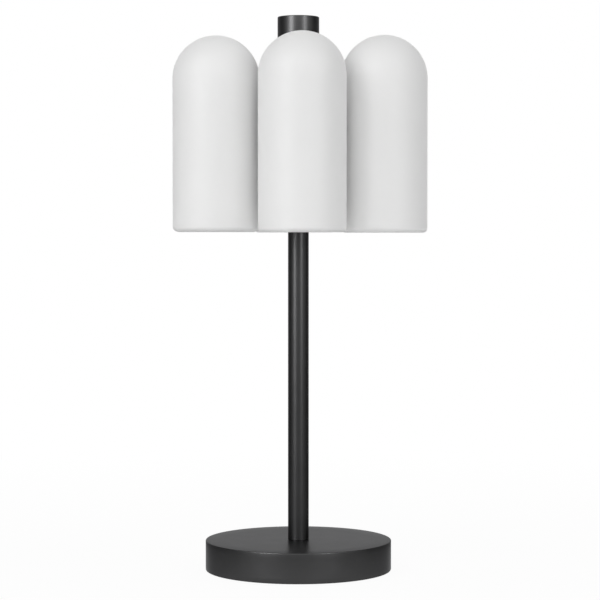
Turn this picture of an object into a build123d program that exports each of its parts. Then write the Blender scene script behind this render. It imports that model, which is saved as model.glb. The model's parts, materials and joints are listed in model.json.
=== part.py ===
from build123d import *
from math import cos, radians, sin, sqrt
import os

# Multi-shade table lamp: six opal glass domes hang round a slim metal column on a round weighted foot.
# Millimetres, +Z up. The origin is the centre of the foot's underside, on the surface that the lamp
# stands on. Shade 1 faces -Y, the front, and the cable inlet is at the back, +Y.

# Driving dimensions of the shades
shade_count = 6
shade_diameter = 102.0
shade_height = 231.0
shade_gap = 12.0  # clear space between two neighbouring shades
glass_wall = 3.0
rim_inner_radius = 2.5  # inside radius of the turned-in lower rim
rim_land = 2.0  # flat part of the rim beyond its bend
lip_round = 1.1  # rounding of the rim's fire-polished edge
hole_below_top = 71.0  # from the top of the dome down to the centre of the side hole

# Driving dimensions of the stand
base_diameter = 224.0
base_height = 37.0
cover_wall = 2.5
foot_gap = 1.0  # shadow gap between the table and the cover's lower edge
edge_round = 1.1
stem_diameter = 25.0
stem_wall = 2.0
stem_length = 501.0
hub_diameter = 50.0
hub_height = 128.0
hub_wall = 5.0
hub_floor = 6.0
cap_thickness = 5.0
cap_seat_wall = 2.6  # wall left beside the inset cap
cap_chamfer = 0.3
arm_above_hub_bottom = 30.0

# Foot: weight, plate, pad and cable inlet
felt_thickness = 2.0
felt_inset = 8.0  # from the cover's outer edge in to the pad's edge
plate_thickness = 2.0
plate_gap = 1.0  # between the bottom plate and the cover's skirt
weight_gap = 2.5  # between the weight and the cover's skirt
weight_chamfer = 2.0
weight_pocket_diameter = 124.0
weight_pocket_depth = 20.0
plate_screw_inset = 22.0  # from the cover's outer edge in to the screws' centres
plate_screw_count = 4
plate_screw_diameter = 4.0
plate_screw_head = 8.0
plate_screw_length = 12.0
inlet_height = 13.0
bushing_diameter = 12.0
bushing_bore = 7.0
bushing_flange = 15.0
bushing_flange_thickness = 2.0
bushing_length = 11.0
channel_width = 17.0

# Hollow M10 pipe and what goes on it
pipe_diameter = 10.0
pipe_bore = 7.0
pipe_chamfer = 0.5
nut_across_flats = 14.0
nut_thickness = 4.0
stem_nut_thickness = 6.0
pipe_past_nut = 2.0
plug_length = 22.0
pipe_in_plug = 18.0
washer_diameter = 30.0
washer_thickness = 2.0
lock_washer_diameter = 18.0
lock_washer_thickness = 2.0
lock_washer_gap = 1.5

# Arm between the hub and a shade
sleeve_diameter = 14.0
flange_diameter = 22.0
flange_thickness = 2.5
gasket_diameter = 20.0
gasket_thickness = 2.0
cup_washer_diameter = 20.0
cup_washer_thickness = 1.5
pipe_inside_hub = 2.0

# Lamp bracket, lamp holder and bulb
bracket_thickness = 1.5
bracket_width = 18.0
bracket_bend = 1.5
bracket_drop = 13.0  # from the arm's centre line down to the ledge's top face
bracket_above_arm = 9.0
holder_flange_length = 36.0
holder_flange_thickness = 4.0
holder_width = 14.0
holder_body_length = 21.0
holder_height = 22.0
holder_corner = 2.5
holder_mouth_depth = 2.5
holder_screw_spacing = 28.0
holder_screw_diameter = 3.0
holder_screw_head = 5.5
holder_screw_head_height = 2.0
holder_screw_past_ledge = 1.0
neck_length = 15.0
neck_width = 9.5
neck_height = 10.0
neck_corner = 2.0
pin_spacing = 9.0
pin_loop_width = 2.6
pin_wire = 0.9
pin_height = 8.5
bulb_diameter = 17.0
bulb_length = 42.0
bulb_shoulder = 1.2

# Wiring
lead_diameter = 1.8
lead_spacing = 3.0
lead_drop_radius = 9.0  # where the leads hang down inside the hub
lead_bend = 5.0
lead_outer_bend = 9.0
lead_socket_depth = 3.0
stem_wire_diameter = 2.2
stem_wire_circle_diameter = 3.1
stem_wire_bend = 4.0
terminal_disc_above_arm = 25.0
terminal_disc_thickness = 8.0
disc_step = 1.5  # ledge in the hub's bore that carries the terminal disc
snap_ring_wire = 1.6
snap_ring_opening = 8.0
terminal_block_size = (24.0, 16.0, 14.0)
terminal_block_offset = 24.0
terminal_pitch = 7.5
terminal_screw_diameter = 3.4
terminal_block_corner = 1.0
wire_entry = 2.0  # length of each stem wire inside the terminal block
earth_tag_thickness = 0.8
earth_tag_diameter = 16.0
earth_barrel_diameter = 4.0
earth_barrel_height = 6.0
earth_barrel_offset = 12.0
earth_wire_gap = 1.0

# Named clearances
thread_clearance = 0.1  # radial
press_clearance = 0.05  # radial, between a pressed piece and its bore
glass_hole_clearance = 0.4  # radial
screw_clearance = 0.2  # radial
slide_clearance = 0.4  # round the bulb's neck and pins
wire_clearance = 0.2  # radial

# Heights and radii that follow
front_angle = -90.0
shade_radius = shade_diameter / 2
shade_bore_radius = shade_radius - glass_wall
rim_radius = rim_inner_radius + glass_wall
ring_radius = (shade_diameter + shade_gap) / (2 * sin(radians(180 / shade_count)))
base_radius = base_diameter / 2
felt_radius = base_radius - felt_inset
plate_screw_circle_radius = base_radius - plate_screw_inset
hub_radius = hub_diameter / 2
hub_bore_radius = hub_radius - hub_wall
pipe_radius = pipe_diameter / 2
threaded_hole_radius = pipe_radius + thread_clearance
hub_bottom = base_height + stem_length
hub_top = hub_bottom + hub_height
arm_height = hub_bottom + arm_above_hub_bottom
shade_top = arm_height + hole_below_top
shade_bottom = shade_top - shade_height
plate_top = felt_thickness + plate_thickness
cover_underside = base_height - cover_wall
pocket_top = plate_top + weight_pocket_depth
weight_radius = base_radius - cover_wall - weight_gap

# Places along an arm, measured out from the lamp's centre line
glass_outside = ring_radius - shade_radius
glass_inside = glass_outside + glass_wall
sleeve_end = glass_outside - gasket_thickness
inner_gasket_end = glass_inside + gasket_thickness
cup_washer_end = inner_gasket_end + cup_washer_thickness
bracket_face = cup_washer_end + bracket_thickness
arm_nut_end = bracket_face + nut_thickness
pipe_end = arm_nut_end + pipe_past_nut
pipe_start = hub_bore_radius - pipe_inside_hub

# Heights inside a shade
ledge_top = arm_height - bracket_drop
ledge_bottom = ledge_top - bracket_thickness
holder_bottom = ledge_bottom - holder_height
neck_top = holder_bottom + holder_mouth_depth - slide_clearance
neck_bottom = neck_top - neck_height
bulb_bottom = neck_bottom - bulb_length
bracket_end = ring_radius + holder_flange_length / 2

# Heights of the stem's fixings, from the foot up to the hub
base_washer_bottom = pocket_top - washer_thickness
base_lock_bottom = base_washer_bottom - lock_washer_thickness
base_nut_bottom = base_lock_bottom - stem_nut_thickness
base_pipe_bottom = base_nut_bottom - pipe_past_nut
hub_inside_floor = hub_bottom + hub_floor
tag_top = hub_inside_floor + earth_tag_thickness
hub_lock_top = tag_top + lock_washer_thickness
hub_nut_top = hub_lock_top + stem_nut_thickness
hub_pipe_top = hub_nut_top + pipe_past_nut
disc_bottom = arm_height + terminal_disc_above_arm
disc_top = disc_bottom + terminal_disc_thickness
disc_bore_radius = hub_bore_radius + disc_step

arm_plane = Plane(origin=(0, 0, arm_height), x_dir=(0, 1, 0), z_dir=(1, 0, 0))
shade_axis = Axis((ring_radius, 0, 0), (0, 0, 1))
side_plane = Plane(origin=(0, 0, 0), x_dir=(1, 0, 0), z_dir=(0, -1, 0))


def finish(part, name):
    """Labels a finished piece and writes it under its own name."""
    part.label = name
    export_step(part, f"parts/{name}.step")


def finish_each(master, name):
    """Writes one turned copy of a piece for each shade, numbered from the front."""
    for index in range(shade_count):
        turned = master.rotate(Axis.Z, front_angle + index * 360 / shade_count)
        finish(turned, f"{name}_{index + 1}")


def finish_ring(master, name):
    """Writes the copies for all shades as one group of separate solids."""
    with BuildPart() as ring:
        with PolarLocations(0, shade_count, start_angle=front_angle):
            add(master)
    finish(ring.part, name)


def tube_between(outer_radius, inner_radius, low, high):
    """An upright tube on the lamp's centre line, or a rod where the inner radius is nought."""
    with BuildPart() as tube:
        with BuildSketch(Plane.XY.offset(low)):
            Circle(outer_radius)
            if inner_radius:
                Circle(inner_radius, mode=Mode.SUBTRACT)
        extrude(amount=high - low)
    return tube.part


def arm_ring(outer_radius, inner_radius, start, end):
    """A ring on an arm's centre line, from start to end along +X."""
    with BuildPart() as ring:
        with BuildSketch(arm_plane.offset(start)):
            Circle(outer_radius)
            Circle(inner_radius, mode=Mode.SUBTRACT)
        extrude(amount=end - start)
    return ring.part


def make_glass_shade():
    """A blown dome with an open foot, a turned-in rim and one side hole towards the hub."""
    dome_centre = (0, shade_height - shade_radius)
    rim_centre = (shade_radius - rim_radius, rim_radius)
    lip_radius = rim_centre[0] - rim_land
    profile_plane = Plane(origin=(ring_radius, 0, shade_bottom), x_dir=(1, 0, 0), z_dir=(0, -1, 0))
    with BuildPart() as shade:
        with BuildSketch(profile_plane) as profile:
            with BuildLine():
                CenterArc(dome_centre, shade_radius, 0, 90)
                Line((shade_radius, dome_centre[1]), (shade_radius, rim_radius))
                CenterArc(rim_centre, rim_radius, 270, 90)
                Line((rim_centre[0], 0), (lip_radius, 0))
                Line((lip_radius, 0), (lip_radius, glass_wall))
                Line((lip_radius, glass_wall), (rim_centre[0], glass_wall))
                CenterArc(rim_centre, rim_inner_radius, 270, 90)
                Line((shade_bore_radius, rim_radius), (shade_bore_radius, dome_centre[1]))
                CenterArc(dome_centre, shade_bore_radius, 0, 90)
                Line((0, shade_height - glass_wall), (0, shade_height))
            make_face()
            lip = profile.vertices().filter_by(lambda vertex: abs(vertex.X - ring_radius - lip_radius) < 0.01)
            fillet(lip, min(lip_round, glass_wall * 0.4))
        revolve(axis=shade_axis)
        with BuildSketch(arm_plane):
            Circle(pipe_radius + glass_hole_clearance)
        extrude(amount=ring_radius, mode=Mode.SUBTRACT)
    return shade.part


def make_arm_sleeve():
    """Turned spacer between the hub and a shade; its inner end is cut to the hub's curve."""
    with BuildPart() as sleeve:
        with BuildSketch(arm_plane):
            Circle(sleeve_diameter / 2)
        extrude(amount=sleeve_end)
        with BuildSketch(arm_plane.offset(sleeve_end - flange_thickness)):
            Circle(flange_diameter / 2)
        extrude(amount=flange_thickness)
        rims = sleeve.edges().filter_by(GeomType.CIRCLE)
        fillet(rims.group_by(SortBy.RADIUS)[-1], flange_thickness * 0.3)
        with BuildSketch(arm_plane):
            Circle(threaded_hole_radius)
        extrude(amount=sleeve_end, mode=Mode.SUBTRACT)
        with BuildSketch(Plane.XY.offset(arm_height - flange_diameter)):
            Circle(hub_radius)
        extrude(amount=2 * flange_diameter, mode=Mode.SUBTRACT)
    return sleeve.part


def make_outer_gasket():
    """Soft ring on the glass, flat towards the sleeve and hollowed to the glass on the other side."""
    with BuildPart() as gasket:
        add(arm_ring(gasket_diameter / 2, threaded_hole_radius, sleeve_end, ring_radius))
        with BuildSketch(Plane(origin=(ring_radius, 0, arm_height - gasket_diameter))):
            Circle(shade_radius)
        extrude(amount=2 * gasket_diameter, mode=Mode.SUBTRACT)
    return gasket.part


def make_inner_gasket():
    """Soft ring inside the glass, crowned to the glass and flat towards the cup washer."""
    with BuildPart() as gasket:
        add(arm_ring(gasket_diameter / 2, threaded_hole_radius, glass_outside, inner_gasket_end))
        with BuildSketch(Plane(origin=(ring_radius, 0, arm_height - gasket_diameter))):
            Circle(shade_bore_radius)
        extrude(amount=2 * gasket_diameter, mode=Mode.INTERSECT)
    return gasket.part


def make_cup_washer():
    with BuildPart() as washer:
        add(arm_ring(cup_washer_diameter / 2, threaded_hole_radius, inner_gasket_end, cup_washer_end))
        rims = washer.edges().filter_by(GeomType.CIRCLE)
        chamfer(rims.group_by(SortBy.RADIUS)[-1], cup_washer_thickness * 0.25)
    return washer.part


def make_arm_nut():
    with BuildPart() as nut:
        with BuildSketch(arm_plane.offset(bracket_face)):
            RegularPolygon(nut_across_flats / 2, 6, major_radius=False)
            Circle(threaded_hole_radius, mode=Mode.SUBTRACT)
        extrude(amount=nut_thickness)
    return nut.part


def make_arm_pipe():
    with BuildPart() as pipe:
        add(arm_ring(pipe_radius, pipe_bore / 2, pipe_start, pipe_end))
        rims = pipe.edges().filter_by(GeomType.CIRCLE)
        chamfer(rims.group_by(SortBy.RADIUS)[-1], pipe_chamfer)
    return pipe.part


def make_lamp_bracket():
    """Bent steel strip: a tab clamped on the pipe and a ledge that carries the lamp holder."""
    tab_top = arm_height + bracket_above_arm
    with BuildPart() as bracket:
        with BuildSketch(side_plane) as profile:
            with BuildLine():
                Polyline(
                    (cup_washer_end, tab_top),
                    (cup_washer_end, ledge_bottom),
                    (bracket_end, ledge_bottom),
                    (bracket_end, ledge_top),
                    (bracket_face, ledge_top),
                    (bracket_face, tab_top),
                    close=True,
                )
            make_face()
            corner_in = profile.vertices().sort_by_distance((bracket_face, 0, ledge_top))[0]
            fillet(corner_in, bracket_bend)
            corner_out = profile.vertices().sort_by_distance((cup_washer_end, 0, ledge_bottom))[0]
            fillet(corner_out, bracket_bend + bracket_thickness)
        extrude(amount=bracket_width / 2, both=True)
        tab_corners = bracket.edges().filter_by(Axis.X).group_by(Axis.Z)[-1]
        fillet(tab_corners, bracket_width * 0.3)
        ledge_corners = bracket.edges().filter_by(Axis.Z).group_by(Axis.X)[-1]
        fillet(ledge_corners, bracket_width * 0.2)
        with BuildSketch(arm_plane):
            Circle(threaded_hole_radius)
        extrude(amount=bracket_face, mode=Mode.SUBTRACT)
        with BuildSketch(Plane(origin=(ring_radius, 0, ledge_bottom))):
            SlotCenterToCenter(lead_spacing, lead_diameter + 4 * wire_clearance, rotation=90)
            with GridLocations(holder_screw_spacing, 0, 2, 1):
                Circle(holder_screw_diameter / 2 + thread_clearance)
        extrude(amount=bracket_thickness, mode=Mode.SUBTRACT)
    return bracket.part


def make_lamp_holder():
    """Ceramic two-pin holder: screw flange above, body with a mouth and two pin slots below."""
    slot_depth = pin_height + holder_mouth_depth + slide_clearance
    with BuildPart() as holder:
        with BuildSketch(Plane(origin=(ring_radius, 0, ledge_bottom - holder_flange_thickness))):
            SlotOverall(holder_flange_length, holder_width)
        extrude(amount=holder_flange_thickness)
        with BuildSketch(Plane(origin=(ring_radius, 0, holder_bottom))):
            RectangleRounded(holder_body_length, holder_width, holder_corner)
        extrude(amount=holder_height)
        with BuildSketch(Plane(origin=(ring_radius, 0, holder_bottom))):
            mouth = (neck_length + 2 * slide_clearance, neck_width + 2 * slide_clearance)
            RectangleRounded(*mouth, neck_corner + slide_clearance)
        extrude(amount=holder_mouth_depth, mode=Mode.SUBTRACT)
        with BuildSketch(Plane(origin=(ring_radius, 0, holder_bottom))):
            slot = (pin_loop_width + pin_wire + 2 * slide_clearance, pin_wire + 2 * slide_clearance)
            with GridLocations(pin_spacing, 0, 2, 1):
                Rectangle(*slot)
        extrude(amount=slot_depth, mode=Mode.SUBTRACT)
        with BuildSketch(Plane(origin=(ring_radius, 0, ledge_bottom))):
            with GridLocations(0, lead_spacing, 1, 2):
                Circle(lead_diameter / 2 + wire_clearance)
        extrude(amount=-lead_socket_depth, mode=Mode.SUBTRACT)
        with BuildSketch(Plane(origin=(ring_radius, 0, ledge_bottom))):
            with GridLocations(holder_screw_spacing, 0, 2, 1):
                Circle(holder_screw_diameter / 2 + screw_clearance)
        extrude(amount=-holder_flange_thickness, mode=Mode.SUBTRACT)
    return holder.part


def make_holder_screws():
    """Two pan-head screws, heads under the holder's flange."""
    head_top = ledge_bottom - holder_flange_thickness
    with BuildPart() as screws:
        with BuildSketch(Plane(origin=(ring_radius, 0, head_top - holder_screw_head_height))):
            with GridLocations(holder_screw_spacing, 0, 2, 1):
                Circle(holder_screw_head / 2)
        extrude(amount=holder_screw_head_height)
        low_rims = screws.edges().filter_by(GeomType.CIRCLE).group_by(Axis.Z)[0]
        fillet(low_rims, holder_screw_head_height * 0.4)
        with BuildSketch(Plane(origin=(ring_radius, 0, head_top))):
            with GridLocations(holder_screw_spacing, 0, 2, 1):
                Circle(holder_screw_diameter / 2)
        extrude(amount=ledge_top + holder_screw_past_ledge - head_top)
    return screws.part


def make_bulb():
    """Pin-base bulb as three kinds of solid: neck, rounded envelope below it and two wire loops on top."""
    with BuildPart() as neck:
        with BuildSketch(Plane(origin=(ring_radius, 0, neck_bottom))):
            RectangleRounded(neck_length, neck_width, neck_corner)
        extrude(amount=neck_height)
    with BuildPart() as envelope:
        with BuildSketch(Plane(origin=(ring_radius, 0, bulb_bottom + bulb_diameter / 2))):
            Circle(bulb_diameter / 2)
        extrude(amount=bulb_length - bulb_diameter / 2)
        fillet(envelope.edges().group_by(Axis.Z)[-1], bulb_shoulder)
        with Locations((ring_radius, 0, bulb_bottom + bulb_diameter / 2)):
            Sphere(bulb_diameter / 2)
    loop_radius = pin_loop_width / 2
    loops = []
    for side in (-1, 1):
        pin_x = ring_radius + side * pin_spacing / 2
        leg_top = neck_top + pin_height - loop_radius - pin_wire / 2
        pin_plane = Plane(origin=(pin_x, 0, leg_top), x_dir=(1, 0, 0), z_dir=(0, -1, 0))
        with BuildPart() as loop:
            with BuildLine(pin_plane) as path:
                Line((-loop_radius, neck_top - leg_top), (-loop_radius, 0))
                CenterArc((0, 0), loop_radius, 180, -180)
                Line((loop_radius, 0), (loop_radius, neck_top - leg_top))
            with BuildSketch(Plane(origin=(pin_x - loop_radius, 0, neck_top))):
                Circle(pin_wire / 2)
            sweep(path=path.wires()[0])
        loops.append(loop.part.solid())
    return Compound([neck.part.solid(), envelope.part.solid(), *loops])


def make_leads():
    """Two wires from the terminal disc, out along the pipe and down into the lamp holder."""
    with BuildPart() as leads:
        for side in (-1, 1):
            offset_y = side * lead_spacing / 2
            start = (lead_drop_radius, offset_y, disc_bottom + lead_socket_depth)
            with BuildLine() as path:
                FilletPolyline(
                    start,
                    (lead_drop_radius, offset_y, arm_height),
                    (ring_radius, offset_y, arm_height),
                    (ring_radius, offset_y, ledge_bottom - lead_socket_depth),
                    radius=[lead_bend, lead_outer_bend],
                )
            with BuildSketch(Plane(origin=start)):
                Circle(lead_diameter / 2)
            sweep(path=path.wires()[0])
    return leads.part


def make_base_cover():
    """Turned steel shell: flat top, straight skirt, centre hole and the inlet hole at the back."""
    with BuildPart() as cover:
        with BuildSketch(Plane.XY.offset(foot_gap)):
            Circle(base_radius)
        extrude(amount=base_height - foot_gap)
        fillet(cover.edges().filter_by(GeomType.CIRCLE), min(edge_round, cover_wall * 0.6))
        with BuildSketch(Plane.XY.offset(foot_gap)):
            Circle(base_radius - cover_wall)
        extrude(amount=cover_underside - foot_gap, mode=Mode.SUBTRACT)
        with BuildSketch(Plane.XY.offset(cover_underside)):
            Circle(threaded_hole_radius)
        extrude(amount=cover_wall, mode=Mode.SUBTRACT)
        with BuildSketch(Plane(origin=(0, 0, inlet_height), x_dir=(1, 0, 0), z_dir=(0, 1, 0))):
            Circle(bushing_diameter / 2 + screw_clearance)
        extrude(amount=base_diameter, mode=Mode.SUBTRACT)
    return cover.part


def make_base_weight():
    """Cast iron disc with a wiring pocket and a channel to the cable inlet."""
    pipe_hole = pipe_radius + 2 * screw_clearance
    with BuildPart() as weight:
        with BuildSketch(Plane.XY.offset(plate_top)):
            Circle(weight_radius)
        extrude(amount=cover_underside - plate_top)
        chamfer(weight.edges().filter_by(GeomType.CIRCLE), weight_chamfer)
        with BuildSketch(Plane.XY.offset(plate_top)):
            Circle(weight_pocket_diameter / 2)
        extrude(amount=weight_pocket_depth, mode=Mode.SUBTRACT)
        with BuildSketch(Plane.XY.offset(plate_top)):
            with Locations((0, base_radius / 2)):
                Rectangle(channel_width, base_radius)
        extrude(amount=weight_pocket_depth, mode=Mode.SUBTRACT)
        with BuildSketch(Plane.XY.offset(plate_top)):
            Circle(pipe_hole)
        extrude(amount=cover_underside - plate_top, mode=Mode.SUBTRACT)
        with BuildSketch(Plane.XY.offset(plate_top)):
            with PolarLocations(plate_screw_circle_radius, plate_screw_count, start_angle=45):
                Circle(plate_screw_diameter / 2 + thread_clearance)
        extrude(amount=plate_screw_length, mode=Mode.SUBTRACT)
    return weight.part


def make_base_plate():
    with BuildPart() as plate:
        with BuildSketch(Plane.XY.offset(felt_thickness)):
            Circle(base_radius - cover_wall - plate_gap)
        extrude(amount=plate_thickness)
        with BuildSketch(Plane.XY.offset(felt_thickness)):
            with PolarLocations(plate_screw_circle_radius, plate_screw_count, start_angle=45):
                Circle(plate_screw_head / 2 + screw_clearance)
        extrude(amount=plate_thickness, taper=45, mode=Mode.SUBTRACT)
    return plate.part


def make_plate_screws():
    """Countersunk screws, heads flush with the plate's underside."""
    cone_height = min(plate_thickness, (plate_screw_head - plate_screw_diameter) / 2)
    with BuildPart() as screws:
        with BuildSketch(Plane.XY.offset(felt_thickness)):
            with PolarLocations(plate_screw_circle_radius, plate_screw_count, start_angle=45):
                Circle(plate_screw_head / 2)
        extrude(amount=cone_height * 0.98, taper=45)
        with BuildSketch(Plane.XY.offset(felt_thickness)):
            with PolarLocations(plate_screw_circle_radius, plate_screw_count, start_angle=45):
                Circle(plate_screw_diameter / 2)
        extrude(amount=plate_screw_length)
    return screws.part


def make_felt_pad():
    with BuildPart() as pad:
        with BuildSketch():
            Circle(felt_radius)
        extrude(amount=felt_thickness)
        chamfer(pad.edges().filter_by(GeomType.CIRCLE), felt_thickness * 0.15)
    return pad.part


def make_cable_bushing():
    """Flanged bush in the cover's back; its flange is hollowed to the skirt's curve."""
    inlet_plane = Plane(origin=(0, 0, inlet_height), x_dir=(1, 0, 0), z_dir=(0, 1, 0))
    outer_face = base_radius + bushing_flange_thickness
    with BuildPart() as flange:
        with BuildSketch(inlet_plane):
            Circle(bushing_flange / 2)
        extrude(amount=outer_face)
        fillet(flange.edges().group_by(Axis.Y)[-1], bushing_flange_thickness * 0.5)
        with BuildSketch():
            Circle(base_radius)
        extrude(amount=base_height, mode=Mode.SUBTRACT)
    with BuildPart() as bushing:
        add(flange.part)
        with BuildSketch(inlet_plane.offset(outer_face - bushing_length)):
            Circle(bushing_diameter / 2)
        extrude(amount=bushing_length - bushing_flange_thickness / 2)
        with BuildSketch(inlet_plane):
            Circle(bushing_bore / 2)
        extrude(amount=outer_face, mode=Mode.SUBTRACT)
    return bushing.part


def make_terminal_block():
    """Three-way block standing on the bottom plate, wire holes through it and clamp screws on top."""
    length, depth, height = terminal_block_size
    wire_plane = Plane(origin=(0, 0, stem_wire_height), x_dir=(-1, 0, 0), z_dir=(0, 1, 0))
    with BuildPart() as block:
        with BuildSketch(Plane.XY.offset(plate_top)):
            with Locations((0, terminal_block_offset + depth / 2)):
                RectangleRounded(length, depth, terminal_block_corner)
        extrude(amount=height)
        with BuildSketch(wire_plane):
            with GridLocations(terminal_pitch, 0, 3, 1):
                Circle(stem_wire_diameter / 2 + wire_clearance)
        extrude(amount=terminal_block_offset + depth, mode=Mode.SUBTRACT)
        with BuildSketch(Plane.XY.offset(plate_top + height)):
            with Locations((0, terminal_block_offset + depth / 2)):
                with GridLocations(terminal_pitch, depth / 2, 3, 2):
                    Circle(terminal_screw_diameter / 2)
        extrude(amount=-height / 4, mode=Mode.SUBTRACT)
    return block.part


def make_terminal_screws():
    """Slotted clamp screws sunk in the terminal block's top."""
    depth, height = terminal_block_size[1:]
    with BuildPart() as screws:
        with BuildSketch(Plane.XY.offset(plate_top + height * 0.75)):
            with Locations((0, terminal_block_offset + depth / 2)):
                with GridLocations(terminal_pitch, depth / 2, 3, 2):
                    Circle(terminal_screw_diameter / 2 - press_clearance)
        extrude(amount=height / 6)
        with BuildSketch(Plane.XY.offset(plate_top + height * (0.75 + 1 / 6))):
            with Locations((0, terminal_block_offset + depth / 2)):
                with GridLocations(terminal_pitch, depth / 2, 3, 2):
                    Rectangle(terminal_screw_diameter, 0.6)
        extrude(amount=-height / 12, mode=Mode.SUBTRACT)
    return screws.part


stem_wire_height = base_pipe_bottom - stem_wire_bend


def make_stem_wires():
    """Live and neutral run from the block up to the terminal disc; earth turns down to its tag."""
    wires = []
    block_face = terminal_block_offset + wire_entry
    for index, angle in enumerate((120, 0, 240)):
        block_x = (index - 1) * -terminal_pitch
        rise_x = stem_wire_circle_diameter / 2 * cos(radians(angle))
        rise_y = stem_wire_circle_diameter / 2 * sin(radians(angle))
        low_run = [
            (block_x, block_face, stem_wire_height),
            (block_x, block_face - 2.5 * stem_wire_bend, stem_wire_height),
            (rise_x, rise_y, stem_wire_height),
        ]
        if angle == 0:
            turn_height = hub_pipe_top + stem_wire_bend + stem_wire_diameter
            high_run = [
                (rise_x, rise_y, turn_height),
                (earth_barrel_offset, 0, turn_height),
                (earth_barrel_offset, 0, tag_top + earth_wire_gap),
            ]
        else:
            high_run = [(rise_x, rise_y, disc_bottom + lead_socket_depth)]
        points = low_run + high_run
        with BuildPart() as wire:
            with BuildLine() as path:
                FilletPolyline(*points, radius=[stem_wire_bend] * (len(points) - 2))
            with BuildSketch(Plane(origin=points[0], z_dir=(0, -1, 0))):
                Circle(stem_wire_diameter / 2)
            sweep(path=path.wires()[0])
        wires.append(wire.part.solid())
    return Compound(wires)


def make_stem_plug(low):
    """Threaded plug brazed into an end of the stem."""
    plug_radius = stem_diameter / 2 - stem_wall - press_clearance
    return tube_between(plug_radius, threaded_hole_radius, low, low + plug_length)


def make_stem_pipe(low, high):
    with BuildPart() as pipe:
        add(tube_between(pipe_radius, pipe_bore / 2, low, high))
        rims = pipe.edges().filter_by(GeomType.CIRCLE)
        chamfer(rims.group_by(SortBy.RADIUS)[-1], pipe_chamfer)
    return pipe.part


def make_stem_nut(low):
    with BuildPart() as nut:
        with BuildSketch(Plane.XY.offset(low)):
            RegularPolygon(nut_across_flats / 2, 6, major_radius=False)
            Circle(threaded_hole_radius, mode=Mode.SUBTRACT)
        extrude(amount=stem_nut_thickness)
    return nut.part


def make_lock_washer(low):
    """Split spring washer."""
    with BuildPart() as washer:
        add(tube_between(lock_washer_diameter / 2, threaded_hole_radius, low, low + lock_washer_thickness))
        with BuildSketch(Plane.XY.offset(low)):
            with Locations((0, -lock_washer_diameter / 4)):
                Rectangle(lock_washer_gap, lock_washer_diameter / 2)
        extrude(amount=lock_washer_thickness, mode=Mode.SUBTRACT)
    return washer.part


def make_hub_body():
    """Turned column: closed floor, stepped bore, threaded side holes and a seat for the cap."""
    with BuildPart() as hub:
        with BuildSketch(Plane.XY.offset(hub_bottom)):
            Circle(hub_radius)
        extrude(amount=hub_height)
        fillet(hub.edges().filter_by(GeomType.CIRCLE), min(edge_round, cap_seat_wall * 0.6))
        with BuildSketch(Plane.XY.offset(hub_inside_floor)):
            Circle(hub_bore_radius)
        extrude(amount=hub_height, mode=Mode.SUBTRACT)
        with BuildSketch(Plane.XY.offset(disc_bottom)):
            Circle(disc_bore_radius)
        extrude(amount=hub_height, mode=Mode.SUBTRACT)
        with BuildSketch(Plane.XY.offset(hub_top - cap_thickness)):
            Circle(hub_radius - cap_seat_wall)
        extrude(amount=hub_height, mode=Mode.SUBTRACT)
        with BuildSketch(Plane.XY.offset(hub_bottom)):
            Circle(threaded_hole_radius)
        extrude(amount=hub_floor, mode=Mode.SUBTRACT)
        for index in range(shade_count):
            angle = radians(front_angle + index * 360 / shade_count)
            outward = (cos(angle), sin(angle), 0)
            with BuildSketch(Plane(origin=(0, 0, arm_height), z_dir=outward)):
                Circle(threaded_hole_radius)
            extrude(amount=hub_diameter, mode=Mode.SUBTRACT)
    return hub.part


def make_hub_cap():
    with BuildPart() as cap:
        with BuildSketch(Plane.XY.offset(hub_top - cap_thickness)):
            Circle(hub_radius - cap_seat_wall - press_clearance)
        extrude(amount=cap_thickness)
        chamfer(cap.edges().filter_by(GeomType.CIRCLE), cap_chamfer)
    return cap.part


def make_terminal_disc():
    """Moulded disc on the step in the hub's bore; wires enter its underside."""
    stem_angles = (120, 240)
    with BuildPart() as disc:
        with BuildSketch(Plane.XY.offset(disc_bottom)):
            Circle(disc_bore_radius - press_clearance)
        extrude(amount=terminal_disc_thickness)
        with BuildSketch(Plane.XY.offset(disc_bottom)):
            with PolarLocations(0, shade_count, start_angle=front_angle):
                with Locations((lead_drop_radius, lead_spacing / 2), (lead_drop_radius, -lead_spacing / 2)):
                    Circle(lead_diameter / 2 + wire_clearance)
            for angle in stem_angles:
                with PolarLocations(stem_wire_circle_diameter / 2, 1, start_angle=angle):
                    Circle(stem_wire_diameter / 2 + wire_clearance)
        extrude(amount=lead_socket_depth, mode=Mode.SUBTRACT)
    return disc.part


def make_snap_ring():
    """Open wire ring that springs into the bore and holds the terminal disc down."""
    ring_centre = disc_bore_radius - press_clearance - snap_ring_wire / 2
    with BuildPart() as ring:
        with BuildSketch(Plane.XZ):
            with Locations((ring_centre, disc_top + snap_ring_wire / 2)):
                Circle(snap_ring_wire / 2)
        revolve(axis=Axis.Z)
        with BuildSketch(Plane.XY.offset(disc_top)):
            with Locations((0, -ring_centre)):
                Rectangle(snap_ring_opening, ring_centre)
        extrude(amount=snap_ring_wire, mode=Mode.SUBTRACT)
    return ring.part


def make_earth_tag():
    """Ring tag under the hub's nut, with a tongue and an upright barrel for the earth wire."""
    barrel_bore = stem_wire_diameter / 2 + wire_clearance
    with BuildPart() as tag:
        with BuildSketch(Plane.XY.offset(hub_inside_floor)):
            Circle(earth_tag_diameter / 2)
            with Locations((earth_barrel_offset / 2, 0)):
                Rectangle(earth_barrel_offset, earth_barrel_diameter)
            with Locations((earth_barrel_offset, 0)):
                Circle(earth_barrel_diameter / 2)
            Circle(threaded_hole_radius, mode=Mode.SUBTRACT)
        extrude(amount=earth_tag_thickness)
        with BuildSketch(Plane.XY.offset(tag_top)):
            with Locations((earth_barrel_offset, 0)):
                Circle(earth_barrel_diameter / 2)
                Circle(barrel_bore, mode=Mode.SUBTRACT)
        extrude(amount=earth_barrel_height)
    return tag.part


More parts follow.
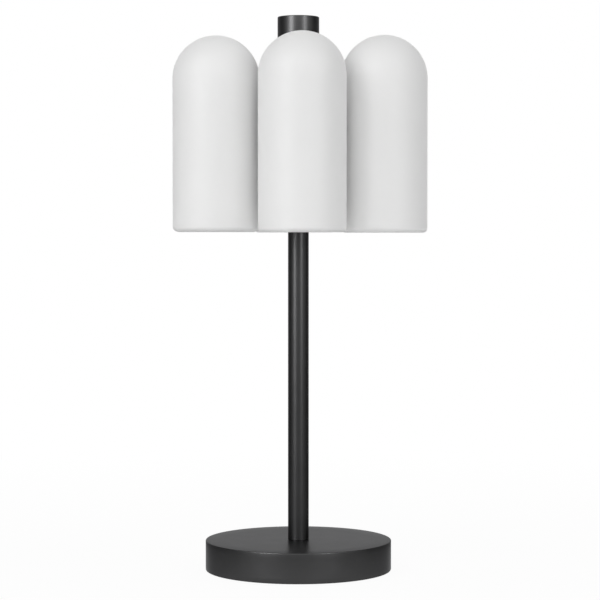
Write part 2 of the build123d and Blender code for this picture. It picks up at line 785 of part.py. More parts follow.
def build_lamp():
    stem_top = hub_bottom
    finish(make_felt_pad(), "felt_pad")
    finish(make_base_plate(), "base_plate")
    finish(make_plate_screws(), "plate_screws")
    finish(make_base_weight(), "base_weight")
    finish(make_base_cover(), "base_cover")
    finish(make_cable_bushing(), "cable_bushing")
    finish(make_terminal_block(), "terminal_block")
    finish(make_terminal_screws(), "terminal_screws")
    washer_bore = threaded_hole_radius + screw_clearance
    finish(tube_between(washer_diameter / 2, washer_bore, base_washer_bottom, pocket_top), "base_washer")
    lock_washers = [make_lock_washer(low).solid() for low in (base_lock_bottom, tag_top)]
    finish(Compound(lock_washers), "lock_washers")
    stem_nuts = [make_stem_nut(low).solid() for low in (base_nut_bottom, hub_lock_top)]
    finish(Compound(stem_nuts), "stem_nuts")
    finish(make_stem_pipe(base_pipe_bottom, base_height + pipe_in_plug), "base_threaded_pipe")
    finish(make_stem_plug(base_height), "stem_lower_plug")
    finish(tube_between(stem_diameter / 2, stem_diameter / 2 - stem_wall, base_height, stem_top), "stem_tube")
    finish(make_stem_plug(stem_top - plug_length), "stem_upper_plug")
    finish(make_stem_pipe(stem_top - pipe_in_plug, hub_pipe_top), "hub_threaded_pipe")
    finish(make_stem_wires(), "stem_wires")
    finish(make_hub_body(), "hub_body")
    finish(make_earth_tag(), "earth_tag")
    finish(make_terminal_disc(), "terminal_disc")
    finish(make_snap_ring(), "snap_ring")
    finish(make_hub_cap(), "hub_cap")
    finish_each(make_glass_shade(), "glass_shade")
    finish_each(make_arm_sleeve(), "arm_sleeve")
    finish_each(make_lamp_bracket(), "lamp_bracket")
    finish_each(make_lamp_holder(), "lamp_holder")
    finish_each(make_bulb(), "bulb")
    finish_ring(make_arm_pipe(), "arm_threaded_pipes")
    finish_ring(make_outer_gasket(), "outer_gaskets")
    finish_ring(make_inner_gasket(), "inner_gaskets")
    finish_ring(make_cup_washer(), "cup_washers")
    finish_ring(make_arm_nut(), "arm_nuts")
    finish_ring(make_holder_screws(), "holder_screws")
    finish_ring(make_leads(), "holder_leads")


os.makedirs("parts", exist_ok=True)
build_lamp()
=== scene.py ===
import bpy
import json
from math import cos, radians, sin, tan
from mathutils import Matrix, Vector


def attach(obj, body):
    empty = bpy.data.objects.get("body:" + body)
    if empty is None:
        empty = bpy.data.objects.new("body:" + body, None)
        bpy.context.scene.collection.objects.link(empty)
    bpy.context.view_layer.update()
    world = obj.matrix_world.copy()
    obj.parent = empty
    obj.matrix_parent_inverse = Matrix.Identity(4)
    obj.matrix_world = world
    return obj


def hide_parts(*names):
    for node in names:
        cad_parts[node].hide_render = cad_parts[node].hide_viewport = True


# A table lamp: six opal glass domes round a slim satin metal column on a round weighted base.
# Metres, +Z up, the origin under the middle of the base. Shade 1 faces -Y, the front.

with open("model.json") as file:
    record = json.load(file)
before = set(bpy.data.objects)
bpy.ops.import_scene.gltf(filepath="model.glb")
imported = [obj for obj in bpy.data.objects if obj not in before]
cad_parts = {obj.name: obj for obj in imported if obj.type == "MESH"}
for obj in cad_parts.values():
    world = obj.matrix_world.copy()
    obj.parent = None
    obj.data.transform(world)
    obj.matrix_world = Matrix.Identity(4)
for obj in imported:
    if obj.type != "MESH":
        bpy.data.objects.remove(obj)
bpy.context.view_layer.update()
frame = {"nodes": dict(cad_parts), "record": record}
nodes = frame["nodes"]
record = frame["record"]
SHADES = 6
RING = 0.114
ARM_HEIGHT = 0.568


def ring_angle(index):
    """Direction of an arm, counted from the front."""
    return radians(-90 + 60 * index)


# Finishes

class Value:
    """A shader value that takes part in Python sums."""

    def __init__(self, finish, socket):
        self.finish = finish
        self.socket = socket

    def math(self, operation, *others):
        return self.finish.node("Math", {"operation": operation}, *((self,) + others))

    def __add__(self, other):
        return self.math("ADD", other)

    def __radd__(self, other):
        return self.math("ADD", other)

    def __sub__(self, other):
        return self.math("SUBTRACT", other)

    def __rsub__(self, other):
        return self.finish.node("Math", {"operation": "SUBTRACT"}, other, self)

    def __mul__(self, other):
        return self.math("MULTIPLY", other)

    def __rmul__(self, other):
        return self.math("MULTIPLY", other)

    def __truediv__(self, other):
        return self.math("DIVIDE", other)

    def __pow__(self, other):
        return self.math("POWER", other)

    def part(self, name):
        """Another output of the same node."""
        return Value(self.finish, self.socket.node.outputs[name])


class Finish:
    """A material built from nodes, on the piece's own object coordinates."""

    def __init__(self, name):
        self.material = bpy.data.materials.new(name)
        self.material.use_nodes = True
        self.tree = self.material.node_tree
        self.shader = self.tree.nodes["Principled BSDF"]
        self.place = self.node("TexCoord", {}).part("Object")

    def node(self, kind, settings, *values, **named):
        """Adds a node: its settings first, then the values or links of its sockets."""
        made = self.tree.nodes.new("ShaderNode" + kind)
        for key, value in settings.items():
            setattr(made, key, value)
        sockets = [s for s in made.inputs if s.enabled]
        for socket, value in zip(sockets, values):
            self.set(socket, value)
        for key, value in named.items():
            title = key.replace("_", " ")
            self.set(next(s for s in sockets if s.name == title), value)
        return Value(self, next(s for s in made.outputs if s.enabled))

    def set(self, socket, value):
        if isinstance(value, Value):
            self.tree.links.new(value.socket, socket)
        elif isinstance(value, tuple) and len(value) == 3 and socket.type == "RGBA":
            socket.default_value = (*value, 1.0)
        else:
            socket.default_value = value

    def constants(self, **named):
        for key, value in named.items():
            self.set(self.shader.inputs[key.replace("_", " ")], value)

    def stretched(self, x, y, z):
        """The object coordinates drawn out along some axes."""
        return self.node("Mapping", {}, Vector=self.place, Scale=(x, y, z))

    def noise(self, scale, detail=3.0, roughness=0.5, where=None):
        where = where or self.place
        return self.node("TexNoise", {}, Vector=where, Scale=scale, Detail=detail, Roughness=roughness)

    def mix(self, share, low, high):
        """A colour between two, by a value from 0 to 1."""
        return self.node("Mix", {"data_type": "RGBA"}, Factor=share, A=low, B=high)

    def bump(self, height, depth):
        """Relief of a real depth in metres."""
        normal = self.node("Bump", {}, Height=height, Distance=depth, Strength=1.0)
        self.set(self.shader.inputs["Normal"], normal)

    def around(self):
        """Distance from the lamp's centre line, in metres."""
        parts = self.node("SeparateXYZ", {}, Vector=self.place)
        x, y = parts.part("X"), parts.part("Y")
        return (x * x + y * y) ** 0.5

    def height(self):
        return self.node("SeparateXYZ", {}, Vector=self.place).part("Z")


# The darkest and lightest tone of the drawn tubes' metal, and of the turned pieces' metal, which is painted a
# touch lighter: painted light that brightens the base's side
DRAWN_TONES = ((0.036, 0.036, 0.0365), (0.054, 0.054, 0.055))
TURNED_TONES_PAINTED_LIGHTER = ((0.040, 0.040, 0.0405), (0.059, 0.059, 0.060))


def satin_gunmetal(name, turned_top=False, smoothest=0.29):
    """Blackened metal, satin, with fine turning marks and a faint uneven patina."""
    finish = Finish(name)
    patina = finish.noise(34.0, 4.0, 0.6)
    cloud = finish.noise(7.0, 2.0, 0.5)
    grain = finish.noise(2600.0, 2.0, 0.7)
    rings = finish.noise(1.0, 2.0, 0.6, finish.stretched(14.0, 14.0, 2400.0))
    if turned_top:
        parts = finish.node("CombineXYZ", {}, X=finish.around() * 2600.0, Y=finish.height() * 1500.0, Z=0.0)
        rings = finish.node("TexNoise", {}, Vector=parts, Scale=1.0, Detail=2.0, Roughness=0.6)
    share = patina * 0.5 + cloud * 0.3 + grain * 0.2
    # Turned pieces take the lighter tones, painted light that brightens their sides; their turning marks are
    # real
    dark, light = TURNED_TONES_PAINTED_LIGHTER if turned_top else DRAWN_TONES
    tone = finish.mix(share, dark, light)
    finish.constants(Base_Color=tone, Metallic=1.0, Specular_Tint=(0.53, 0.53, 0.535))
    finish.constants(Roughness=share * 0.10 + rings * 0.03 + smoothest)
    finish.bump(rings * 0.6 + grain * 0.4, 0.000012)
    return finish.material


def opal_glass(name):
    """Blown opal glass with an etched, silky face and the faintest cloudiness."""
    finish = Finish(name)
    cloud = finish.noise(9.0, 3.0, 0.5)
    silk = finish.noise(1400.0, 2.0, 0.6)
    tone = finish.mix(cloud, (0.885, 0.885, 0.882), (0.925, 0.925, 0.923))
    finish.constants(Base_Color=tone, Roughness=0.50 + silk * 0.12, Metallic=0.0, IOR=1.5)
    finish.constants(Subsurface_Weight=0.3, Subsurface_Radius=(1.0, 1.0, 1.0), Subsurface_Scale=0.008)
    finish.constants(Specular_IOR_Level=0.35)
    finish.bump(silk * 0.7 + cloud * 0.3, 0.00001)
    return finish.material


def black_felt(name):
    """Pressed felt: matted fibres with a little nap."""
    finish = Finish(name)
    fibre = finish.noise(900.0, 5.0, 0.75)
    mat = finish.noise(90.0, 3.0, 0.6)
    tone = finish.mix(fibre * 0.7 + mat * 0.3, (0.012, 0.012, 0.013), (0.06, 0.06, 0.062))
    finish.constants(Base_Color=tone, Roughness=0.95, Sheen_Weight=0.35, Sheen_Roughness=0.4)
    finish.constants(Specular_IOR_Level=0.15)
    finish.bump(fibre * 0.8 + mat * 0.2, 0.00035)
    return finish.material


def plated_steel(name, dark, light):
    """Bright zinc plate with its fine spangle."""
    finish = Finish(name)
    spangle = finish.node("TexVoronoi", {}, Vector=finish.place, Scale=420.0)
    haze = finish.noise(60.0, 4.0, 0.6)
    tone = finish.mix(spangle * 0.35 + haze * 0.6, dark, light)
    finish.constants(Base_Color=tone, Metallic=1.0, Roughness=0.28 + haze * 0.2)
    finish.bump(finish.noise(1800.0, 2.0, 0.6), 0.00001)
    return finish.material


def rough_casting(name):
    """Sand-cast iron, dull and pitted."""
    finish = Finish(name)
    sand = finish.noise(700.0, 4.0, 0.7)
    scale = finish.noise(45.0, 3.0, 0.6)
    tone = finish.mix(sand * 0.5 + scale * 0.5, (0.045, 0.043, 0.041), (0.14, 0.135, 0.13))
    finish.constants(Base_Color=tone, Metallic=0.6, Roughness=0.62 + sand * 0.2)
    finish.bump(sand, 0.0003)
    return finish.material


def plain_brass(name):
    finish = Finish(name)
    haze = finish.noise(80.0, 4.0, 0.6)
    tone = finish.mix(haze, (0.62, 0.45, 0.20), (0.80, 0.62, 0.31))
    finish.constants(Base_Color=tone, Metallic=1.0, Roughness=0.22 + haze * 0.2)
    finish.bump(finish.noise(1500.0, 2.0, 0.6), 0.00001)
    return finish.material


def clear_silicone(name):
    """Milky silicone rubber."""
    finish = Finish(name)
    milk = finish.noise(160.0, 3.0, 0.5)
    tone = finish.mix(milk, (0.70, 0.70, 0.68), (0.80, 0.80, 0.785))
    finish.constants(Base_Color=tone, Roughness=0.42 + milk * 0.15)
    finish.constants(Subsurface_Weight=0.3, Subsurface_Radius=(1.0, 1.0, 1.0), Subsurface_Scale=0.002)
    finish.bump(milk, 0.00004)
    return finish.material


def fired_ceramic(name):
    """Unglazed steatite: chalky, with small specks."""
    finish = Finish(name)
    chalk = finish.noise(500.0, 4.0, 0.6)
    specks = finish.node("TexVoronoi", {}, Vector=finish.place, Scale=700.0).math("LESS_THAN", 0.16)
    base = finish.mix(chalk, (0.80, 0.775, 0.72), (0.88, 0.86, 0.815))
    tone = finish.mix(specks * 0.35, base, (0.55, 0.50, 0.43))
    finish.constants(Base_Color=tone, Roughness=0.6 + chalk * 0.2, Specular_IOR_Level=0.4)
    finish.bump(chalk, 0.00006)
    return finish.material


def frosted_bulb(name):
    finish = Finish(name)
    frost = finish.noise(1200.0, 3.0, 0.6)
    tone = finish.mix(frost, (0.86, 0.845, 0.80), (0.93, 0.92, 0.885))
    finish.constants(Base_Color=tone, Roughness=0.38 + frost * 0.2)
    finish.constants(Subsurface_Weight=0.4, Subsurface_Radius=(1.0, 0.95, 0.85), Subsurface_Scale=0.004)
    finish.bump(frost, 0.00001)
    return finish.material


def moulded_plastic(name, dark, light, rough):
    finish = Finish(name)
    pores = finish.noise(1500.0, 3.0, 0.6)
    flow = finish.noise(60.0, 2.0, 0.5)
    tone = finish.mix(pores * 0.4 + flow * 0.6, dark, light)
    finish.constants(Base_Color=tone, Roughness=rough + pores * 0.15)
    finish.bump(pores, 0.00002)
    return finish.material


finishes = {
    "dark_metal": satin_gunmetal("Satin_gunmetal"),
    "opal_glass": opal_glass("Opal_glass"),
    "zinc_steel": plated_steel("Zinc_plated_steel", (0.42, 0.42, 0.41), (0.66, 0.66, 0.64)),
    "spring_steel": plated_steel("Spring_steel", (0.16, 0.16, 0.165), (0.34, 0.34, 0.35)),
    "cast_iron": rough_casting("Cast_iron"),
    "brass": plain_brass("Brass"),
    "felt": black_felt("Black_felt"),
    "silicone": clear_silicone("Silicone"),
    "holder_ceramic": fired_ceramic("Holder_ceramic"),
    "bulb_glass": frosted_bulb("Frosted_bulb"),
    "black_plastic": moulded_plastic("Black_plastic", (0.018, 0.018, 0.018), (0.034, 0.034, 0.034), 0.42),
    "lead_insulation": moulded_plastic("Lead_sleeving", (0.72, 0.70, 0.65), (0.84, 0.82, 0.78), 0.5),
    "wire_insulation": moulded_plastic("Wire_insulation", (0.22, 0.11, 0.05), (0.34, 0.19, 0.10), 0.4),
}
turned_metal = satin_gunmetal("Satin_gunmetal_turned", turned_top=True)
# Dull, because a smooth cap mirrors a light as white when it is seen from behind
blasted_metal = satin_gunmetal("Blasted_gunmetal", turned_top=True, smoothest=0.66)
bulb_neck = moulded_plastic("Bulb_neck", (0.80, 0.79, 0.76), (0.88, 0.87, 0.85), 0.35)
tinned_wire = plated_steel("Tinned_wire", (0.55, 0.55, 0.54), (0.75, 0.75, 0.73))

slot_names = {entry["node"]: entry["material_slot"] for entry in record["subparts"]}
for node_name, node in nodes.items():
    for material_slot in node.material_slots:
        material_slot.material = finishes[slot_names[node_name]]


# Modelling

def deselect():
    bpy.ops.object.select_all(action="DESELECT")


def take(piece):
    """Makes a piece the only one selected."""
    deselect()
    piece.select_set(True)
    bpy.context.view_layer.objects.active = piece


def edit(piece):
    take(piece)
    bpy.ops.object.mode_set(mode="EDIT")
    bpy.ops.mesh.select_all(action="SELECT")


def leave():
    bpy.ops.object.mode_set(mode="OBJECT")


def edit_only(piece, chosen):
    """Edit mode with only the vertices selected whose height passes a test."""
    edit(piece)
    bpy.ops.mesh.select_all(action="DESELECT")
    leave()
    for vertex in piece.data.vertices:
        vertex.select = chosen(vertex.co.z)
    bpy.ops.object.mode_set(mode="EDIT")


def tidy_normals():
    bpy.ops.mesh.select_all(action="SELECT")
    bpy.ops.mesh.normals_make_consistent(inside=False)


def soften(piece, angle=35):
    take(piece)
    bpy.ops.object.shade_smooth_by_angle(angle=radians(angle))


def arc(centre, radius, begin, end, steps):
    """Points (radius, height) along an arc in the profile, angles in degrees from outwards."""
    points = []
    for step in range(steps + 1):
        angle = radians(begin + (end - begin) * step / steps)
        points.append((centre[0] + radius * cos(angle), centre[1] + radius * sin(angle)))
    return points


def run(first, last, steps):
    """Points along a straight part of the profile, without its first point."""
    return [
        (first[0] + (last[0] - first[0]) * s / steps, first[1] + (last[1] - first[1]) * s / steps)
        for s in range(1, steps + 1)
    ]


def extrude_along(first, stops):
    """Draws the selected ring from a first point along others, and joins it where it meets the axis."""
    radius, height = first
    for next_radius, next_height in stops:
        bpy.ops.mesh.extrude_region_move(TRANSFORM_OT_translate={"value": (0, 0, next_height - height)})
        if next_radius < 1e-7:
            bpy.ops.mesh.merge(type="CENTER")
            break
        if abs(next_radius - radius) > 1e-9:
            share = next_radius / radius
            bpy.ops.transform.resize(value=(share, share, 1), center_override=(0, 0, next_height))
        radius, height = next_radius, next_height
    bpy.ops.mesh.select_all(action="SELECT")
    bpy.ops.mesh.remove_doubles(threshold=1e-6)
    bpy.ops.mesh.normals_make_consistent(inside=False)


def turned(name, profile, segments=128, closed=True):
    """Turns a profile of (radius, height) points round Z by extruding a ring along it."""
    deselect()
    first_radius, first_height = profile[0]
    bpy.ops.mesh.primitive_circle_add(
        vertices=segments, radius=first_radius, location=(0, 0, first_height), fill_type="NOTHING"
    )
    piece = bpy.context.object
    piece.name = name
    edit(piece)
    bpy.ops.mesh.select_mode(type="VERT")
    extrude_along(profile[0], profile[1:] + ([profile[0]] if closed else []))
    leave()
    bpy.ops.object.transform_apply(location=True, rotation=True, scale=True)
    return piece


def pole(piece, height):
    """Closes the open ring at a height with a pole in its middle."""
    edit_only(piece, lambda z: abs(z - height) < 1e-6)
    bpy.ops.mesh.extrude_region_move(TRANSFORM_OT_translate={"value": (0, 0, 0)})
    bpy.ops.mesh.merge(type="CENTER")
    tidy_normals()
    leave()


def drilled(piece, radius, begin, end, direction):
    """Cuts a round hole from one point to another along a direction."""
    middle = (Vector(begin) + Vector(end)) / 2
    deselect()
    bpy.ops.mesh.primitive_cylinder_add(
        vertices=64,
        radius=radius,
        depth=(Vector(end) - Vector(begin)).length,
        location=middle,
        rotation=Vector(direction).to_track_quat("Z", "Y").to_euler(),
    )
    drill = bpy.context.object
    take(piece)
    cut = piece.modifiers.new("Hole", "BOOLEAN")
    cut.operation = "DIFFERENCE"
    cut.solver = "EXACT"
    cut.object = drill
    bpy.ops.object.modifier_apply(modifier=cut.name)
    bpy.data.objects.remove(drill)


def copied(piece, name, turn):
    """A copy with its own mesh, turned round the lamp's centre line."""
    twin = piece.copy()
    twin.data = piece.data.copy()
    twin.name = name
    bpy.context.collection.objects.link(twin)
    twin.rotation_euler = (0, 0, turn)
    take(twin)
    bpy.ops.object.transform_apply(location=True, rotation=True, scale=True)
    return twin


def eased(node_name, edge):
    """A welded copy of a node with eased edges, which takes the node's place."""
    piece = bpy.data.objects.new(node_name + "_finished", nodes[node_name].data.copy())
    bpy.context.collection.objects.link(piece)
    edit(piece)
    bpy.ops.mesh.remove_doubles(threshold=2e-6)
    bpy.ops.mesh.dissolve_limited(angle_limit=radians(0.4))
    leave()
    if edge:
        bevel = piece.modifiers.new("Eased edges", "BEVEL")
        bevel.width = edge
        bevel.segments = 2
        bevel.limit_method = "ANGLE"
        bevel.angle_limit = radians(35)
        take(piece)
        bpy.ops.object.modifier_apply(modifier=bevel.name)
    soften(piece, 30)
    return piece


def place(piece, finish, body, slot, *replaced):
    """Gives a piece its finish, its body and the nodes that it stands for. The slot is not used."""
    if finish:
        piece.data.materials.clear()
        piece.data.materials.append(finish)
    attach(piece, body)
    if replaced:
        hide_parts(*replaced)


# Glass shades

def blown_shade():
    """One shade at the origin of its own axis: dome, straight wall, turned-in rim."""
    outer, wall, bottom, top = 0.051, 0.003, 0.408, 0.639
    dome = top - outer
    bend, land = 0.0055, 0.002
    lip = outer - bend - land
    edge = 0.0012
    profile = [(outer, bottom + bend)]
    profile += run((outer, bottom + bend), (outer, dome), 30)
    profile += arc((0, dome), outer, 0, 90, 26)[1:-1]
    outside = turned("Glass_shade", profile, closed=False)
    pole(outside, profile[-1][1])
    edit_only(outside, lambda z: z < bottom + bend + 1e-6)
    rim = arc((outer - bend, bottom + bend), bend, 0, -90, 10)[1:]
    rim += [(lip + edge, bottom)]
    rim += arc((lip + edge, bottom + edge), edge, 270, 180, 4)[1:]
    rim += arc((lip + edge, bottom + wall - edge), edge, 180, 90, 4)
    rim += [(outer - bend, bottom + wall)]
    rim += arc((outer - bend, bottom + bend), bend - wall, -90, 0, 8)[1:]
    rim += run((outer - wall, bottom + bend), (outer - wall, dome), 30)
    rim += arc((0, dome), outer - wall, 0, 90, 22)[1:]
    extrude_along((outer, bottom + bend), rim)
    bpy.ops.transform.translate(value=(RING, 0, 0))
    leave()
    arm_hole, hole_from, hole_to = 0.0054, 0.05, 0.08
    drilled(outside, arm_hole, (hole_from, 0, ARM_HEIGHT), (hole_to, 0, ARM_HEIGHT), (1, 0, 0))
    return outside


# Each blown shade comes out a hair longer or shorter than its neighbours.
stretches = (1.0, 1.0045, 0.998, 1.002, 0.9985, 0.992)
stretch_height = 0.524
master = blown_shade()
for index in range(SHADES):
    number = index + 1
    shade = copied(master, f"Glass_shade_{number}", ring_angle(index))
    edit(shade)
    bpy.ops.transform.resize(value=(1, 1, stretches[index]), center_override=(0, 0, stretch_height))
    leave()
    soften(shade, 40)
    place(shade, finishes["opal_glass"], "lamp", "opal_glass", f"glass_shade_{number}")
bpy.data.objects.remove(master)


# Base

def spun_cover():
    """The base's shell with its rounded rims, the hole for the column's pipe and the inlet hole."""
    radius, top, foot, wall, edge = 0.112, 0.037, 0.001, 0.0025, 0.0011
    inner = radius - wall
    hole = 0.0051
    profile = [(radius, foot + edge)]
    profile += run((radius, foot + edge), (radius, top - edge), 6)
    profile += arc((radius - edge, top - edge), edge, 0, 90, 6)[1:]
    for share in (0.8, 0.6, 0.4, 0.2):
        profile.append((hole + (radius - edge - hole) * share, top))
    profile += [(hole, top), (hole, top - wall), (inner, top - wall), (inner, foot + edge / 2)]
    profile += arc((radius - edge, foot + edge), edge, 270, 315, 3)
    cover = turned("Base_cover", profile, segments=192)
    inlet_radius, inlet_height, hole_from, hole_to = 0.0062, 0.013, 0.101, 0.117
    drilled(cover, inlet_radius, (0, hole_from, inlet_height), (0, hole_to, inlet_height), (0, 1, 0))
    soften(cover, 32)
    return cover


place(spun_cover(), turned_metal, "lamp", "dark_metal", "base_cover")


def drawn_tube():
    radius, wall, low, high, edge = 0.0125, 0.002, 0.037, 0.538, 0.0003
    profile = [(radius, low + edge)]
    profile += run((radius, low + edge), (radius, high - edge), 24)
    profile += [(radius - edge, high), (radius - wall + edge, high), (radius - wall, high - edge)]
    profile += [(radius - wall, low + edge), (radius - wall + edge, low), (radius - edge, low)]
    tube = turned("Column_tube", profile, segments=128)
    soften(tube, 32)
    return tube


place(drawn_tube(), finishes["dark_metal"], "lamp", "dark_metal", "stem_tube")


def turned_hub():
    """Hub body: eased rims, stepped bore, seat for the cap and six threaded holes."""
    radius, low, high, edge = 0.025, 0.538, 0.666, 0.0011
    seat, step, bore, hole = 0.0224, 0.0215, 0.020, 0.0051
    profile = [(radius, low + edge)]
    profile += run((radius, low + edge), (radius, high - edge), 16)
    profile += arc((radius - edge, high - edge), edge, 0, 90, 6)[1:]
    profile += [(seat + 0.0002, high), (seat, high - 0.0002), (seat, high - 0.005), (step, high - 0.005)]
    profile += [(step, 0.593), (bore, 0.593), (bore, low + 0.006), (hole, low + 0.006), (hole, low)]
    profile += arc((radius - edge, low + edge), edge, 270, 360, 6)[:-1]
    hub = turned("Hub_body", profile, segments=128)
    for index in range(SHADES):
        way = Vector((cos(ring_angle(index)), sin(ring_angle(index)), 0))
        rise = Vector((0, 0, ARM_HEIGHT))
        drilled(hub, hole, way * 0.015 + rise, way * 0.03 + rise, way)
    soften(hub, 32)
    return hub


place(turned_hub(), finishes["dark_metal"], "lamp", "dark_metal", "hub_body")


def flush_cap():
    """The disc that closes the hub's top, from its underside up, with a fine bevel."""
    radius, low, high, edge = 0.02235, 0.661, 0.666, 0.0003
    profile = [(0.004, low), (radius - edge, low), (radius, low + edge), (radius, high - edge)]
    profile += [(radius - edge, high), (0.016, high), (0.010, high), (0.004, high), (0, high)]
    cap = turned("Hub_cap", profile, segments=128, closed=False)
    pole(cap, low)
    soften(cap, 25)
    return cap


place(flush_cap(), blasted_metal, "lamp", "dark_metal", "hub_cap")


# Pieces that keep the frame's shape and get eased edges

simple_pieces = {
    "cable_bushing": 0.0003,
    "felt_pad": 0.0,
    "base_plate": 0.0002,
    "plate_screws": 0.0,
    "arm_threaded_pipes": 0.0,
    "outer_gaskets": 0.0003,
    "inner_gaskets": 0.0003,
    "cup_washers": 0.0,
    "arm_nuts": 0.0003,
    "holder_screws": 0.0,
    "holder_leads": 0.0,
}
for name, edge_width in simple_pieces.items():
    place(eased(name, edge_width), finishes[slot_names[name]], "lamp", slot_names[name], name)

# Heights that part a bulb's envelope, its neck and its wire loops
neck_bottom, neck_top = 0.52358, 0.53362
for number in range(1, SHADES + 1):
    sleeve = eased(f"arm_sleeve_{number}", 0.0)
    place(sleeve, finishes["dark_metal"], "lamp", "dark_metal", f"arm_sleeve_{number}")
    bracket = eased(f"lamp_bracket_{number}", 0.0003)
    place(bracket, finishes["zinc_steel"], "lamp", "zinc_steel", f"lamp_bracket_{number}")
    holder = eased(f"lamp_holder_{number}", 0.0004)
    place(holder, finishes["holder_ceramic"], "lamp", "holder_ceramic", f"lamp_holder_{number}")
    bulb = eased(f"bulb_{number}", 0.0)
    place(bulb, None, f"bulb_{number}", "bulb_glass", f"bulb_{number}")
    bulb.data.materials.clear()
    for finish in (finishes["bulb_glass"], bulb_neck, tinned_wire):
        bulb.data.materials.append(finish)
    for face in bulb.data.polygons:
        face.material_index = (face.center.z > neck_bottom) + (face.center.z > neck_top)


# Floor, light and camera

def studio_floor():
    """A white floor with a trace of the lamp's shadow. It runs out into white and is clear from below. In
    gloss it is painted partly black around the lamp, a painted darkening of its reflection in the metal.
    """
    deselect()
    bpy.ops.mesh.primitive_plane_add(size=80, location=(0, 0, -0.0003))
    floor = bpy.context.object
    floor.name = "Studio_floor"
    finish = Finish("Studio_floor")
    finish.constants(Base_Color=(0.86, 0.86, 0.86), Roughness=0.9, Specular_IOR_Level=0.0)
    light_path = finish.node("LightPath", {})
    eye, gloss = light_path.part("Is Camera Ray"), light_path.part("Is Glossy Ray")
    near_glow, gloss_painted_dark_share = 0.95, 0.6
    out_of_sight = ((finish.around() - 0.25) / 1.1).math("MAXIMUM", 0.0).math("MINIMUM", 1.0)
    # In gloss the floor glows white beside the base and far off; between these it shows a painted dark
    # reflection
    beside_base = (0.36 - finish.around()) / 0.15
    out_of_gloss = ((finish.around() - 1.0) / 3.4).math("MAXIMUM", beside_base)
    out_of_gloss = out_of_gloss.math("MAXIMUM", 0.0).math("MINIMUM", 1.0)
    share = eye * (out_of_sight * (1 - near_glow) + near_glow) + gloss * out_of_gloss
    matt = Value(finish, finish.shader.outputs[0])
    black = finish.node("BsdfDiffuse", {}, Color=(0, 0, 0))
    glow = finish.node("Emission", {}, Color=(1, 1, 1), Strength=1.0)
    clear = finish.node("BsdfTransparent", {})
    # Seen in gloss the floor is mixed toward black: a painted dark reflection in the metal, not shade that
    # falls on it
    painted_dark_in_gloss = finish.node("MixShader", {}, gloss * gloss_painted_dark_share, matt, black)
    lit = finish.node("MixShader", {}, share, painted_dark_in_gloss, glow)
    below = finish.node("NewGeometry", {}).part("Backfacing")
    shown = finish.node("MixShader", {}, below, lit, clear)
    finish.set(finish.tree.nodes["Material Output"].inputs["Surface"], shown)
    floor.data.materials.append(finish.material)


def white_surroundings(level):
    """White to the eye, to gloss and through glass, and a softer level for lighting."""
    world = bpy.data.worlds.new("White_studio")
    bpy.context.scene.world = world
    world.use_nodes = True
    tree = world.node_tree
    background = tree.nodes["Background"]
    background.inputs["Color"].default_value = (1, 1, 1, 1)
    path = tree.nodes.new("ShaderNodeLightPath")
    seen = tree.nodes.new("ShaderNodeMath")
    seen.operation = "MAXIMUM"
    tree.links.new(path.outputs["Is Camera Ray"], seen.inputs[0])
    tree.links.new(path.outputs["Is Glossy Ray"], seen.inputs[1])
    through = tree.nodes.new("ShaderNodeMath")
    through.operation = "MAXIMUM"
    tree.links.new(seen.outputs[0], through.inputs[0])
    tree.links.new(path.outputs["Is Transmission Ray"], through.inputs[1])
    strength = tree.nodes.new("ShaderNodeMapRange")
    strength.inputs["To Min"].default_value = level
    strength.inputs["To Max"].default_value = 1.0
    tree.links.new(through.outputs[0], strength.inputs["Value"])
    tree.links.new(strength.outputs[0], background.inputs["Strength"])


def softbox(name, azimuth, distance, height, width, tall, watts, gloss=True, matt=True):
    """A soft light that may show in gloss, on matt surfaces or both. Azimuth is from the front, in degrees to
    the right."""
    deselect()
    angle = radians(azimuth)
    spot = Vector((distance * sin(angle), -distance * cos(angle), height))
    bpy.ops.object.light_add(type="AREA", location=spot)
    lamp = bpy.context.object
    lamp.name = name
    lamp.data.shape = "RECTANGLE"
    lamp.data.size = width
    lamp.data.size_y = tall
    lamp.data.energy = watts
    lamp.visible_glossy = gloss
    lamp.visible_diffuse = matt
    aim = Vector((0, 0, 0.4))
    lamp.rotation_euler = (aim - spot).to_track_quat("-Z", "Y").to_euler()


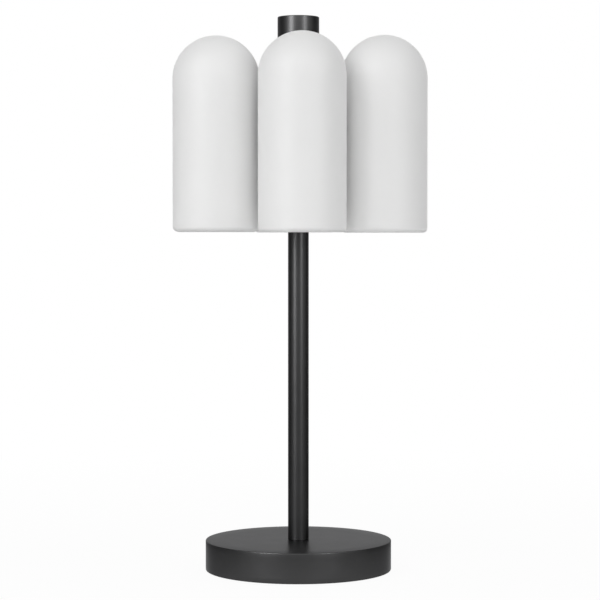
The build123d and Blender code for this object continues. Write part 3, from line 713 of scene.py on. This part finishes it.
def dark_flag(name, azimuth, distance=1.6, width=1.3, tall=2.4):
    """A dark panel beside the lamp that keeps the metal's edges dark and shows in gloss only."""
    deselect()
    angle = radians(azimuth)
    spot = Vector((distance * sin(angle), -distance * cos(angle), tall / 2))
    bpy.ops.mesh.primitive_plane_add(size=1, location=spot)
    flag = bpy.context.object
    flag.name = name
    flag.scale = (width, tall, 1)
    flag.rotation_euler = Vector((-spot.x, -spot.y, 0)).to_track_quat("Z", "Y").to_euler()
    bpy.ops.object.transform_apply(location=True, rotation=True, scale=True)
    flag.visible_camera = False
    flag.visible_diffuse = False
    flag.visible_shadow = False
    cloth = Finish(name)
    cloth.constants(Base_Color=(0.40, 0.40, 0.40), Roughness=0.9, Specular_IOR_Level=0.0)
    flag.data.materials.append(cloth.material)


def photo_camera():
    """Long lens level with the shades' lower edges, a touch to the left of the front and tilted down."""
    distance, height, turn = 2.499, 0.408, radians(2.206)
    focal = 2075.2
    pitch = radians(1.87)
    spot = Vector((-distance * sin(turn), -distance * cos(turn), height))
    across = Vector((cos(turn), -sin(turn), 0))
    aim = across * 0.00195 + Vector((0, 0, height - distance * tan(pitch)))
    deselect()
    bpy.ops.object.camera_add(location=spot)
    camera = bpy.context.object
    camera.name = "Photo_camera"
    camera.rotation_euler = (aim - spot).to_track_quat("-Z", "Y").to_euler()
    camera.data.sensor_width = 36
    camera.data.lens = focal / 600 * 36
    bpy.context.scene.camera = camera


studio_floor()
white_surroundings(0.38)
softbox("Left_strip", -42.5, 2.2, 1.10, 0.66, 1.60, 50, matt=False)
softbox("Right_strip", 33.5, 2.3, 1.10, 0.44, 1.50, 29, matt=False)
softbox("Front_card", -6, 3.0, 1.90, 2.8, 2.0, 18, matt=False)
softbox("Left_fill", -44, 1.5, 1.5, 0.8, 1.2, 8.8, gloss=False)
softbox("Front_fill", -8, 2.6, 1.1, 2.2, 1.6, 12.5, gloss=False)
softbox("Right_fill", 72, 2.3, 1.9, 1.2, 1.4, 12.5, gloss=False)
softbox("Low_fill", -14, 1.3, 0.05, 1.4, 0.5, 1.1, gloss=False)
softbox("Back_fill", 175, 2.6, 1.3, 2.0, 1.6, 20, gloss=False)
dark_flag("Left_flag", -102)
dark_flag("Right_flag", 102)
photo_camera()
bpy.context.scene.view_settings.view_transform = "Standard"
